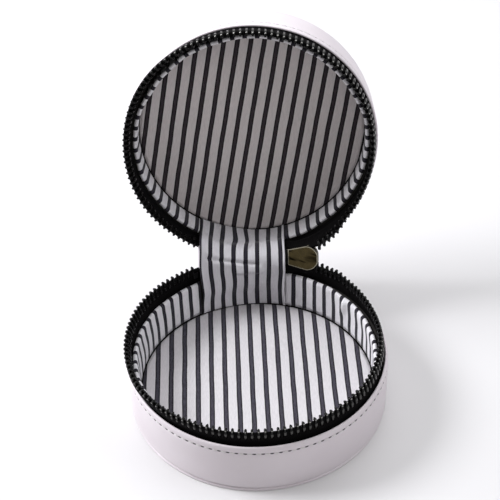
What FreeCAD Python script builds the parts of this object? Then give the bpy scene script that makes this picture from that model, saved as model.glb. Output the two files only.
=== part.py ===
"""Round zip-around jewelry box: leather over board, lined with striped cloth.

It stands open, with the lid leaning back on its soft hinge. Millimetres, +Z up,
+Y towards the hinge, origin at the centre of the underside. Both halves are drawn
closed, rim upwards, with z measured from the closing plane, and then put in place.
Angles psi run clockwise from the hinge, as seen from above.
"""
import FreeCAD
import Part
import math
import os
from FreeCAD import Vector

# Case
outer_diameter = 100.0
base_rim_height = 24.0
lid_rim_height = 18.5
leather = 0.9
panel = 1.6
panel_inset = 0.5
panel_round = 0.5
flat_board = 1.5
wall_board = 1.5
wall_board_round = 1.2
base_board_drop = 2.0
lid_board_drop = 4.0
base_pad = 2.0
lid_pad = 0.9
lining = 0.8
glue_gap = 0.1

# Stitches
stitch_length = 2.3
stitch_height = 0.5
stitch_depth = 0.25
stitch_drop = 3.5
stitch_lift = 0.05
stitch_count = 92

# Zip
zip_half = 6.0
tape = 0.6
seam = 6.0
tooth_pitch = 2.36
tooth_length = 4.2
tooth_reach = 0.9
tooth_body = 1.5
tooth_neck = 0.64
tooth_head = 1.0
tooth_depth = 2.2
tooth_grip = 1.1
tooth_gap = 0.12
end_dip = 1.75
ramp_length = 7.2
ramp_lead = 1.25
bay_clear = 0.55
stop_length = 1.8
stop_height = 2.6

# Hinge
open_angle = 101.0
zip_share = 0.3
hinge_inset = 2.1
strip_width = 35.4
strip_offset = 7.0
strip_proud = 0.3
strip_tuck = 1.6
edge_gap = 0.25
bend_half = 7.0
bend_steps = 7

# Slider and pull
slider_length = 13.0
slider_narrow = 7.6
slider_wide = 10.6
slider_shoulder = 1.5
slider_nose = 3.2
slider_nose_bulge = 0.93
slider_plate = 1.0
slider_channel = 3.0
slider_slot = 1.4
slider_flange = 0.3
slider_set_in = 0.2
slider_gap = 0.3
slider_end_clear = 6.8
post_width = 1.2
post_length = 4.8
clip_length = 1.2
clip_width = 6.0
clip_depth = 2.4
bail_length = 7.2
bail_width = 1.4
bail_height = 2.6
bail_bar = 1.1
bail_slope = 1.0
pin_diameter = 1.0
pull_length = 22.0
pull_width = 6.8
pull_thickness = 1.1
pull_eye = 5.5
pull_bar = 1.0
pull_bar_gap = 0.3

# Radii, from the outside in
case_r = outer_diameter / 2
band_in = case_r - leather
tape_out = band_in - glue_gap
tape_in = tape_out - tape
tape_r = (tape_out + tape_in) / 2
wall_out = tape_in - glue_gap
wall_in = wall_out - wall_board
lining_out = wall_in - glue_gap
lining_in = lining_out - lining
floor_r = lining_in - glue_gap

# Heights and angles
base_depth = base_rim_height + zip_half
lid_depth = lid_rim_height + zip_half
rim_z = -zip_half
hinge_y = case_r - hinge_inset
half_strip = math.degrees(strip_width / 2 / floor_r)
strip_from = -strip_offset - half_strip
strip_to = -strip_offset + half_strip
chain_half = tooth_length - tooth_reach
tape_top = -chain_half + tooth_grip
slider_r = tape_r - slider_set_in
half_slider = math.degrees(math.asin(slider_length / 2 / slider_r))
clip_from = strip_to + math.degrees(edge_gap / tape_r)
clip_to = clip_from + math.degrees(clip_length / tape_r)
slider_from = clip_to + math.degrees(slider_gap / tape_r) + half_slider
slider_to = 360 + strip_from - math.degrees(slider_end_clear / tape_r) - half_slider
right_ramp = slider_from + math.degrees((slider_length / 2 + ramp_length) / tape_r)
left_ramp = slider_to - math.degrees(ramp_lead / tape_r)
pin_lift = (bail_height - bail_bar) / 2

ORIGIN = Vector(0, 0, 0)
UP = Vector(0, 0, 1)
HINGE = Vector(0, hinge_y, 0)


def outline(first, *steps):
    """Face in the XZ plane; a step is an end point, or an arc's middle and end points."""
    edges = []
    here = Vector(first[0], 0, first[1])
    for step in steps + (first,):
        is_arc = isinstance(step[0], tuple)
        x, z = step[1] if is_arc else step
        there = Vector(x, 0, z)
        if is_arc:
            middle = Vector(step[0][0], 0, step[0][1])
            edges.append(Part.Arc(here, middle, there).toShape())
        elif here.distanceToPoint(there) > 1e-6:
            edges.append(Part.makeLine(here, there))
        here = there
    return Part.Face(Part.Wire(edges))


def on_circle(centre, radius, angle):
    """Point of a circle in the XZ plane."""
    turn = math.radians(angle)
    return centre[0] + radius * math.cos(turn), centre[1] + radius * math.sin(turn)


def revolved(face, psi_from=0.0, psi_to=360.0):
    """Revolves a profile about the box axis over a range of psi."""
    start = face.copy()
    start.rotate(ORIGIN, UP, 90 - psi_to)
    return start.revolve(ORIGIN, UP, psi_to - psi_from)


def ring(inner, outer, low, high, psi_from=0.0, psi_to=360.0):
    return revolved(outline((inner, low), (outer, low), (outer, high), (inner, high)), psi_from, psi_to)


def disc(radius, low, high, low_round):
    """Disc whose lower edge is rounded."""
    centre = (radius - low_round, low + low_round)
    profile = outline((0, low), (centre[0], low), (on_circle(centre, low_round, -45), (radius, centre[1])),
                      (radius, high), (0, high))
    return revolved(profile)


def prism(face, low, high):
    """Extrudes an XZ face along Y."""
    solid = face.copy()
    solid.translate(Vector(0, low, 0))
    return solid.extrude(Vector(0, high - low, 0))


def at_psi(shape, psi):
    turned = shape.copy()
    turned.rotate(ORIGIN, UP, -psi)
    return turned


def dip_share(psi):
    """1 where a row lies low beside the hinge, 0 along the rest of the rim."""
    if psi < 180:
        run = math.radians(right_ramp - psi) * tape_r
    else:
        run = math.radians(psi - left_ramp) * tape_r
    return min(max(0.5 + run / ramp_length, 0.0), 1.0)


def dip_cutter(psi, towards_hinge):
    """Takes the tape's top edge down along a ramp and on to the hinge."""
    near = towards_hinge * ramp_length / 2
    far = towards_hinge * strip_width
    low = tape_top - end_dip
    high = tape_top + end_dip
    face = outline((-near, tape_top), (near, low), (far, low), (far, high), (-near, high))
    return at_psi(prism(face, band_in - strip_width / 2, case_r + tape), psi)


def zip_tape():
    """Tape sewn inside the rim, cut down to the rim where the slider parks."""
    tuck = math.degrees((strip_tuck - edge_gap) / tape_r)
    whole = ring(tape_in, tape_out, rim_z - seam, tape_top, strip_to - tuck, 360 + strip_from + tuck)
    bay_end = slider_from + half_slider + math.degrees(bay_clear / tape_r)
    bay = ring(wall_in, case_r, rim_z - glue_gap, tape_top + end_dip, strip_to - 2 * tuck, bay_end)
    return whole.cut([dip_cutter(right_ramp, -1), dip_cutter(left_ramp, 1), bay])


def slotted(face):
    """Clip or tooth at psi 0 that grips the tape edge."""
    blank = prism(face, tape_r - tooth_depth / 2, tape_r + tooth_depth / 2)
    slot_half = tape / 2 + tooth_gap
    low = -chain_half - tooth_grip
    size = Vector(2 * tooth_pitch, 2 * slot_half, tape_top + tooth_gap - low)
    return blank.cut(Part.makeBox(size.x, size.y, size.z, Vector(-tooth_pitch, tape_r - slot_half, low)))


def tooth():
    body, neck, head = tooth_body / 2, tooth_neck / 2, tooth_head / 2
    low = -chain_half
    shoulder = -tooth_reach
    neck_low, neck_high = shoulder + tooth_reach / 4, shoulder + tooth_reach * 3 / 4
    cheek = tooth_reach * 2 / 3
    right = [(body, low), (body, shoulder), (neck, neck_low), (neck, neck_high), (head, 0), (head, cheek),
             (neck, tooth_reach)]
    left = [(-x, z) for x, z in reversed(right)]
    return slotted(outline(*right, *left))


def zip_row(shift):
    """Teeth from the slider's mouth to the stop beside the hinge."""
    pitch = math.degrees(tooth_pitch / tape_r)
    first = slider_from + half_slider + pitch * (0.5 + shift)
    last = 360 + strip_from - math.degrees((edge_gap + stop_length + tooth_pitch / 2) / tape_r)
    one = tooth()
    row = []
    for index in range(int((last - first) / pitch) + 1):
        psi = first + index * pitch
        placed = at_psi(one, psi)
        placed.translate(Vector(0, 0, -end_dip * dip_share(psi)))
        row.append(placed)
    return Part.makeCompound(row)


def top_stop():
    half = stop_length / 2
    low = -chain_half
    clip = slotted(outline((-half, low), (half, low), (half, low + stop_height), (-half, low + stop_height)))
    clip.translate(Vector(0, 0, -end_dip))
    return at_psi(clip, 360 + strip_from - math.degrees((edge_gap + half) / tape_r))


def stitches():
    low = Vector(-stitch_length / 2, case_r + stitch_lift, rim_z - stitch_drop)
    one = Part.makeBox(stitch_length, stitch_depth, stitch_height, low)
    return Part.makeCompound([at_psi(one, (index + 0.5) * 360 / stitch_count) for index in range(stitch_count)])


def outer_band(low):
    turned = leather / 2
    centre = (band_in + turned, rim_z - turned)
    return revolved(outline((band_in, low), (case_r, low), (case_r, centre[1]),
                            ((centre[0], rim_z), (band_in, centre[1]))))


def wall_ring(low, top):
    """Stiff ring, full width below the sewn tape, with a rounded rim."""
    step = rim_z - seam - glue_gap
    centre = (wall_in + wall_board_round, top - wall_board_round)
    return revolved(outline((wall_in, low), (tape_out, low), (tape_out, step), (wall_out, step), (wall_out, top),
                            (centre[0], top), (on_circle(centre, wall_board_round, 135), (wall_in, centre[1]))))


def wall_cloth(low, top):
    """Lining up the wall and over the stiff ring to the tape, open at the hinge strip."""
    centre = (wall_in + wall_board_round, top - wall_board_round)
    under = wall_board_round + glue_gap
    over = under + lining
    profile = outline((lining_in, low), (lining_out, low), (lining_out, centre[1]),
                      (on_circle(centre, under, 135), (centre[0], centre[1] + under)),
                      (wall_out, centre[1] + under), (wall_out, centre[1] + over), (centre[0], centre[1] + over),
                      (on_circle(centre, over, 135), (lining_in, centre[1])))
    gap = math.degrees(edge_gap / lining_in)
    return revolved(profile, strip_to + gap, 360 + strip_from - gap)


def floor_cloth(low, top):
    """Cloth over the pad and down its side."""
    under = top - lining
    edge = lining / 2
    centre = (floor_r - edge, top - edge)
    side = floor_r - lining
    return revolved(outline((side, low), (floor_r, low), (floor_r, centre[1]),
                            (on_circle(centre, edge, 45), (centre[0], top)), (0, top), (0, under), (side, under)))


def half_case(depth, pad, board_drop, shift):
    """One half, rim upwards, under the closing plane."""
    board_low = panel - depth + glue_gap
    inside = board_low + flat_board + glue_gap
    top = inside + pad + glue_gap + lining
    return {
        "panel": disc(case_r - panel_inset, -depth, panel - depth, panel_round),
        "flat_board": ring(0, tape_out, board_low, board_low + flat_board),
        "pad": ring(0, floor_r - lining - glue_gap, inside, inside + pad),
        "flat_lining": floor_cloth(inside, top),
        "outer_band": outer_band(board_low),
        "band_stitches": stitches(),
        "wall_board": wall_ring(inside, rim_z - board_drop),
        "wall_lining": wall_cloth(inside, rim_z - board_drop),
        "zip_tape": zip_tape(),
        "zip_teeth": zip_row(shift),
        "top_stop": top_stop(),
    }


def inside_top(depth, pad):
    return panel - depth + 3 * glue_gap + flat_board + pad + lining


def bent(inner, outer, psi_from, psi_to, low, high):
    """Sheet along the wall that folds about the hinge axis near the closing plane."""
    heights = [low] + [bend_half * (2 * step / bend_steps - 1) for step in range(bend_steps + 1)] + [high]
    sections = []
    for z in heights:
        corners = []
        for radius in (outer, inner):
            for share in (0.0, 0.5, 1.0):
                turn = math.radians(psi_from + share * (psi_to - psi_from))
                corners.append(Vector(radius * math.sin(turn), radius * math.cos(turn), z))
        a, b, c, d, e, f = corners
        wire = Part.Wire([Part.Arc(a, b, c).toShape(), Part.makeLine(c, f), Part.Arc(f, e, d).toShape(),
                          Part.makeLine(d, a)])
        fold = min(max((z + bend_half) / (2 * bend_half), 0.0), 1.0)
        wire.rotate(HINGE, Vector(1, 0, 0), -open_angle * fold)
        sections.append(wire)
    return Part.makeLoft(sections, True, True)


def slider_body():
    """Two plates with side flanges, joined by the post that parts the rows; mouth at +X."""
    back, front = -slider_length / 2, slider_length / 2
    narrow, wide, nose = slider_narrow / 2, slider_wide / 2, slider_nose / 2
    bulge_x = slider_shoulder + (front - slider_shoulder) * math.sqrt(0.5)
    bulge_z = (nose + (wide - nose) * math.sqrt(0.5)) * slider_nose_bulge
    face = outline((back, -narrow), (slider_shoulder, -wide), ((bulge_x, -bulge_z), (front, -nose)),
                   (front, nose), ((bulge_x, bulge_z), (slider_shoulder, wide)), (back, narrow))
    reach = slider_channel / 2
    solids = []
    for side in (-1, 1):
        levels = sorted((slider_r + side * reach, slider_r + side * (reach + slider_plate)))
        solids.append(prism(face, *levels))
        lips = sorted((slider_r + side * slider_slot / 2, slider_r + side * reach))
        for edge in (-1, 1):
            lip = outline((back, edge * narrow), (slider_shoulder, edge * wide),
                          (slider_shoulder, edge * (wide - slider_flange)), (back, edge * (narrow - slider_flange)))
            solids.append(prism(lip, *lips))
    start = front - slider_length / 2 + slider_gap
    half = post_width / 2
    post = outline((start, 0), (start + post_width, -half), (start + post_length - half, -half),
                   ((start + post_length, 0), (start + post_length - half, half)), (start + post_width, half))
    solids.append(prism(post, slider_r - reach, slider_r + reach))
    return solids[0].multiFuse(solids[1:]).removeSplitter().Solids[0]


def flat_xy(points):
    corners = [Vector(x, y, 0) for x, y in points]
    return Part.Face(Part.makePolygon(corners + corners[:1]))


plate_face = slider_r + slider_channel / 2 + slider_plate


def slider_bail():
    """Arch along the slider's outer plate."""
    foot, crest = bail_length / 2, bail_length / 2 - bail_slope
    top, under = plate_face + bail_height, plate_face + bail_height - bail_bar
    arch = flat_xy([(-foot, plate_face), (-foot + bail_bar, plate_face), (-crest + bail_bar, under),
                    (crest - bail_bar, under), (foot - bail_bar, plate_face), (foot, plate_face), (crest, top),
                    (-crest, top)])
    arch.translate(Vector(0, 0, -bail_width / 2))
    return arch.extrude(Vector(0, 0, bail_width))


def slider_pull():
    """Pull whose pin lies under the arch; drawn pointing outwards, then let hang."""
    pin_y = plate_face + pin_lift
    inner = bail_width / 2 + pull_bar_gap
    outer = inner + pull_bar
    half_pin = pin_diameter / 2
    solids = [Part.makeCylinder(half_pin, 2 * inner, Vector(0, pin_y, -inner))]
    for low in (-outer, inner):
        knuckle = Part.makeCylinder(half_pin, pull_bar, Vector(0, pin_y, low))
        arm = Part.makeBox(pin_diameter, pull_eye, pull_bar, Vector(-half_pin, pin_y, low))
        solids += [knuckle, arm]
    half = pull_width / 2
    start, end = pin_y + pull_eye, pin_y + pull_length
    flare, round_y = start + half - outer, end - half
    corners = [Vector(0, start, -outer), Vector(0, flare, -half), Vector(0, round_y, -half)]
    mirrored = [Vector(0, point.y, -point.z) for point in reversed(corners)]
    edges = [Part.makeLine(corners[0], corners[1]), Part.makeLine(corners[1], corners[2]),
             Part.Arc(corners[2], Vector(0, end, 0), mirrored[0]).toShape(),
             Part.makeLine(mirrored[0], mirrored[1]), Part.makeLine(mirrored[1], mirrored[2]),
             Part.makeLine(mirrored[2], corners[0])]
    tab = Part.Face(Part.Wire(edges))
    tab.translate(Vector(-pull_thickness / 2, 0, 0))
    solids.append(tab.extrude(Vector(pull_thickness, 0, 0)))
    pull = solids[0].multiFuse(solids[1:]).removeSplitter().Solids[0]
    pull.rotate(Vector(0, pin_y, 0), UP, slider_from)
    return pull


def placed_open(shape, share):
    """Opens a closed shape by a share of the lid's angle and lifts it onto the base."""
    moved = shape.copy()
    moved.rotate(HINGE, Vector(1, 0, 0), -open_angle * share)
    moved.translate(Vector(0, 0, base_depth))
    return moved


NAMES = {"base": {"panel": "bottom_panel", "flat_board": "bottom_board", "pad": "floor_pad",
                  "flat_lining": "floor_lining"},
         "lid": {"panel": "top_panel", "flat_board": "top_board", "pad": "ceiling_pad",
                 "flat_lining": "ceiling_lining"}}

os.makedirs("parts", exist_ok=True)
nodes = {}
for name, shape in half_case(base_depth, base_pad, base_board_drop, 0.0).items():
    nodes["base_" + NAMES["base"].get(name, name)] = placed_open(shape, 0)
for name, shape in half_case(lid_depth, lid_pad, lid_board_drop, 0.5).items():
    nodes["lid_" + NAMES["lid"].get(name, name)] = placed_open(shape.mirror(ORIGIN, UP), 1)

leather_tuck = math.degrees(strip_tuck / tape_r)
nodes["hinge_leather"] = placed_open(bent(tape_in, tape_out, strip_from + leather_tuck, strip_to - leather_tuck,
                                          rim_z - seam, zip_half + seam), 0)
nodes["hinge_lining"] = placed_open(bent(lining_in - strip_proud, lining_out, strip_from, strip_to,
                                         inside_top(base_depth, base_pad) + glue_gap,
                                         -inside_top(lid_depth, lid_pad) - glue_gap), 0)
clip = ring(tape_r - clip_depth / 2, tape_r + clip_depth / 2, -clip_width / 2, clip_width / 2, clip_from, clip_to)
nodes["zip_bottom_stop"] = placed_open(clip, zip_share)
nodes["slider_body"] = placed_open(at_psi(slider_body(), slider_from), zip_share)
nodes["slider_bail"] = placed_open(at_psi(slider_bail(), slider_from), zip_share)
nodes["slider_pull"] = placed_open(at_psi(slider_pull(), slider_from), zip_share)

for name, shape in nodes.items():
    shape.exportStep("parts/" + name + ".step")
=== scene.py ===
import math

import bmesh
import bpy
import numpy as np
from mathutils import Matrix, Vector


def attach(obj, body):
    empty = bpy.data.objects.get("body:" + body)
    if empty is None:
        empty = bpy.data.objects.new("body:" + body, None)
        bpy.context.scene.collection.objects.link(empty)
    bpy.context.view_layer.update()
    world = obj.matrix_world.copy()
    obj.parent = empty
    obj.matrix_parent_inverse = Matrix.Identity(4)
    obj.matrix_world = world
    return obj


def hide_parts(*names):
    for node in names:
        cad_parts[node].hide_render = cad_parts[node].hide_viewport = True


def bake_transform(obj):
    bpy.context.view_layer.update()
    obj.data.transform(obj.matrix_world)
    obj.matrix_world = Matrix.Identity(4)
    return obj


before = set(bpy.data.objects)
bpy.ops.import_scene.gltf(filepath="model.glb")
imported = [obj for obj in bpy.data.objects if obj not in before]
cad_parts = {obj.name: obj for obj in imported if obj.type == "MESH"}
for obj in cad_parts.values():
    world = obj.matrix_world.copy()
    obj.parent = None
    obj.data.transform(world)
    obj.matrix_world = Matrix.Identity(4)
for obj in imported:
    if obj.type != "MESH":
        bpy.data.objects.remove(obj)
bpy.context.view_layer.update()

# Sizes in millimetres, and places in degrees round the case from its hinge, clockwise from above.
MM = 0.001
CASE_R = 50.0
BAND_IN = 49.1
CHAIN_R = 48.7
LINING_OUT = 46.7
LINING_IN = 45.9
FLOOR_R = 45.7
STRIP_R = 45.5
HINGE_Y = 47.9
CLOSE_Z = 30.0
OPEN = 101.0
ZIP_SHARE = 0.3
RIM = 6.0
PANEL = 1.85
PANEL_THICK = 1.6
STITCH_COUNT = 99
STITCH_DROP = 3.25
STRIP_FROM = -29.14
STRIP_TO = 15.14
STRIP_MIDDLE = -7.0
STRIP_BEND = 9.0
TOOTH_COUNT = 108
TOOTH_STEP = 2.77655
FIRST_TOOTH = {"base": 31.217, "lid": 32.605}
TAPE_FROM = 13.5
TAPE_TO = 332.5
TAPE_FOOT = 11.0
TAPE_EDGE = 1.0
TAPE_REACH = 5.5
SLIDER_AT = 24.9036

# Each leaf's side of the closing plane, its depth, its fold in the photo, the depths of its hem and
# of its floor or ceiling cloth, and what it adds to the seeds of its folds.
SIDE = {"base": -1, "lid": 1}
DEPTH = {"base": 30.0, "lid": 24.5}
FOLD = {"base": 0.0, "lid": OPEN}
HEM = {"base": 7.1, "lid": 9.1}
INSIDE = {"base": 23.8, "lid": 19.4}
SEED = {"base": 0, "lid": 1}

# How far the soft pieces in the photo leave their plain rings, in millimetres, and where, in degrees.
CHAIN_LEAN = -1.2
CHAIN_FLARE = 0.9
FLARE_AT = 234
FLARE_SPREAD = 26
RIGHT_DIP = 1.75
RIGHT_DIP_AT = 41.02
LEFT_DIP = 0.3
LEFT_DIP_AT = 313.68
DIP_RAMP = 8.47
TWIST_FROM = 52.0
TWIST_TO = 22.0
HEM_SHIFT = {"base": -0.6, "lid": -0.3}
HEM_LEAN = {"base": 0.0, "lid": 2.0}
HEM_SAG = {"base": 0.0, "lid": 2.2}
PUCKER_AT = 52.5
PUCKER_DEPTH = {"base": 1.1, "lid": 0.0}
FRONT_AT = 185
FRONT_SWELL = {"base": 1.3, "lid": 0.0}
RIGHT_AT = 97
RIGHT_SWELL = {"base": 0.8, "lid": 0.0}

# Stripe spacing in millimetres, read off the weave of each lining piece; shifts are in stripes.
FLOOR_STRIPE = 5.35
CEILING_STRIPE = 5.22
WALL_STRIPE = {"base": 4.78, "lid": 4.90}
WALL_SHIFT = {"base": 0.168, "lid": 0.759}
STRIP_STRIPE = 4.86
STRIP_SHIFT = 0.555


def tint(code):
    """An sRGB hex colour as linear RGBA."""
    parts = [int(code[i:i + 2], 16) / 255 for i in (1, 3, 5)]
    linear = [c / 12.92 if c <= 0.04045 else ((c + 0.055) / 1.055) ** 2.4 for c in parts]
    return (*linear, 1.0)


def add(tree, kind, inputs=None, **settings):
    """Adds one node, with its settings, its values and its links."""
    node = tree.nodes.new(kind)
    for key, value in settings.items():
        setattr(node, key, value)
    for key, value in (inputs or {}).items():
        if isinstance(value, bpy.types.NodeSocket):
            tree.links.new(value, node.inputs[key])
        else:
            node.inputs[key].default_value = value
    return node


def ease(t):
    """A smooth step from 0 to 1."""
    t = np.clip(t, 0.0, 1.0)
    return t * t * (3 - 2 * t)


def mound(distance, width):
    """A smooth rise to 1 where distance is 0, almost gone at twice the width."""
    return np.exp(-(distance / width) ** 2)


def waves(seed, count, *axes):
    """Smooth seeded undulation in -1..1; each axis is (coordinates, lowest, highest frequency)."""
    rng = np.random.default_rng(seed)
    total = 0.0
    for _ in range(count):
        phase = rng.uniform(0, 2 * math.pi)
        for values, low, high in axes:
            phase = phase + values * rng.uniform(low, high) * rng.choice([-1, 1])
        total = total + np.sin(phase)
    return total / math.sqrt(count)


def place(psi, radius, height, fold):
    """Closed-case polar place, swung about the hinge line by fold degrees, in metres."""
    turn = np.radians(psi)
    swing = np.radians(fold)
    depth = HINGE_Y - radius * np.cos(turn)
    x = radius * np.sin(turn)
    y = HINGE_Y - depth * np.cos(swing) + height * np.sin(swing)
    z = CLOSE_Z + depth * np.sin(swing) + height * np.cos(swing)
    return np.stack(np.broadcast_arrays(x, y, z), -1) * MM


def new_object(name, mesh, *materials):
    piece = bpy.data.objects.new(name, mesh)
    bpy.context.scene.collection.objects.link(piece)
    for material in materials:
        mesh.materials.append(material)
    return piece


def skin(name, points, uv, material, around=False, across=False, caps=False):
    """Quads over a grid of points; around and across close its two directions."""
    rows, cols = points.shape[:2]
    faces = []
    corners = []
    for i in range(rows if around else rows - 1):
        for j in range(cols if across else cols - 1):
            quad = ((i, j), (i + 1, j), (i + 1, j + 1), (i, j + 1))
            faces.append([(a % rows) * cols + b % cols for a, b in quad])
            corners.extend(uv[a, b] for a, b in quad)
    if caps:
        for i in (0, rows - 1):
            faces.append([i * cols + j for j in range(cols)])
            corners.extend(uv[i, j] for j in range(cols))
    mesh = bpy.data.meshes.new(name)
    mesh.from_pydata(points.reshape(-1, 3).tolist(), [], faces)
    layer = mesh.uv_layers.new(name="cloth")
    layer.data.foreach_set("uv", np.array(corners, dtype=np.float32).ravel())
    shell = bmesh.new()
    shell.from_mesh(mesh)
    bmesh.ops.remove_doubles(shell, verts=shell.verts, dist=1e-7)
    bmesh.ops.recalc_face_normals(shell, faces=shell.faces)
    shell.to_mesh(mesh)
    shell.free()
    mesh.shade_smooth()
    return new_object(name, mesh, material)


def grid_uv(u, v):
    return np.stack(np.meshgrid(u, v, indexing="ij"), -1)


def run_length(line):
    """Distance along a line of points, from its first point."""
    steps = np.hypot(*np.diff(np.asarray(line), axis=0).T)
    return np.concatenate([[0.0], np.cumsum(steps)])


def blank_material(name):
    """A new material and its empty node tree."""
    material = bpy.data.materials.new(name)
    material.use_nodes = True
    material.node_tree.nodes.clear()
    return material, material.node_tree


# Coated split leather, white: smooth film over a fine pebble grain, with pricked stitch holes
# where the piece's own map puts them, darkened there with painted shade. The eye gets a soft satin sheen and
# little colour.
def coated_leather(name, hole_shade_tint=None):
    material, tree = blank_material(name)
    pebble_size = 0.9 * MM
    crease_size = 3 * MM
    cloud_size = 14 * MM
    place_at = add(tree, "ShaderNodeTexCoord").outputs["Object"]
    pebbles = add(tree, "ShaderNodeTexVoronoi",
                  {"Vector": place_at, "Scale": 1 / pebble_size, "Randomness": 1.0}, feature="SMOOTH_F1")
    creases = add(tree, "ShaderNodeTexNoise", {"Vector": place_at, "Scale": 1 / crease_size, "Detail": 5.0})
    clouds = add(tree, "ShaderNodeTexNoise", {"Vector": place_at, "Scale": 1 / cloud_size, "Detail": 2.0})
    colour = add(tree, "ShaderNodeMix",
                 {"Factor": clouds.outputs["Fac"], 6: tint("#E8DFE5"), 7: tint("#F1EAEF")},
                 data_type="RGBA")
    height = add(tree, "ShaderNodeMath", {0: pebbles.outputs["Distance"], 1: 0.5}, operation="MULTIPLY")
    height = add(tree, "ShaderNodeMath", {0: height.outputs[0], 1: creases.outputs["Fac"]}, operation="ADD")
    bump = add(tree, "ShaderNodeBump",
               {"Height": height.outputs[0], "Strength": 0.16, "Distance": 0.12 * MM})
    rough = add(tree, "ShaderNodeMapRange",
                {"Value": creases.outputs["Fac"], "To Min": 0.36, "To Max": 0.52})
    base = colour.outputs[2]
    # Painted shade: a dark dash of the hole tint at each stitch hole.
    if hole_shade_tint:
        pitch = 2 * math.pi * CASE_R / STITCH_COUNT
        squeeze = 0.46
        hole_core = 0.24
        hole_edge = 0.46
        map_at = add(tree, "ShaderNodeUVMap", uv_map="cloth")
        split = add(tree, "ShaderNodeSeparateXYZ", {0: map_at.outputs["UV"]})
        step = add(tree, "ShaderNodeMath", {0: split.outputs["X"], 1: 0.5}, operation="ADD")
        step = add(tree, "ShaderNodeMath", {0: step.outputs[0]}, operation="FRACT")
        step = add(tree, "ShaderNodeMath", {0: step.outputs[0], 1: 0.5}, operation="SUBTRACT")
        along = add(tree, "ShaderNodeMath", {0: step.outputs[0], 1: pitch * squeeze}, operation="MULTIPLY")
        below = add(tree, "ShaderNodeMath", {0: split.outputs["Y"], 1: STITCH_DROP}, operation="SUBTRACT")
        away = add(tree, "ShaderNodeCombineXYZ", {"X": along.outputs[0], "Y": below.outputs[0]})
        reach = add(tree, "ShaderNodeVectorMath", {0: away.outputs[0]}, operation="LENGTH")
        hole_shade = add(tree, "ShaderNodeMapRange",
                   {"Value": reach.outputs["Value"], "From Min": hole_core, "From Max": hole_edge,
                    "To Min": 1.0, "To Max": 0.0}, interpolation_type="SMOOTHSTEP")
        hole_shaded = add(tree, "ShaderNodeMix",
                      {"Factor": hole_shade.outputs[0], 6: base, 7: tint(hole_shade_tint)}, data_type="RGBA")
        base = hole_shaded.outputs[2]
    shader = add(tree, "ShaderNodeBsdfPrincipled",
                 {"Base Color": base, "Roughness": rough.outputs[0], "Normal": bump.outputs[0],
                  "IOR": 1.48, "Coat Weight": 0.12, "Coat Roughness": 0.3})
    add(tree, "ShaderNodeOutputMaterial", {"Surface": shader.outputs[0]})
    return material


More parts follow.
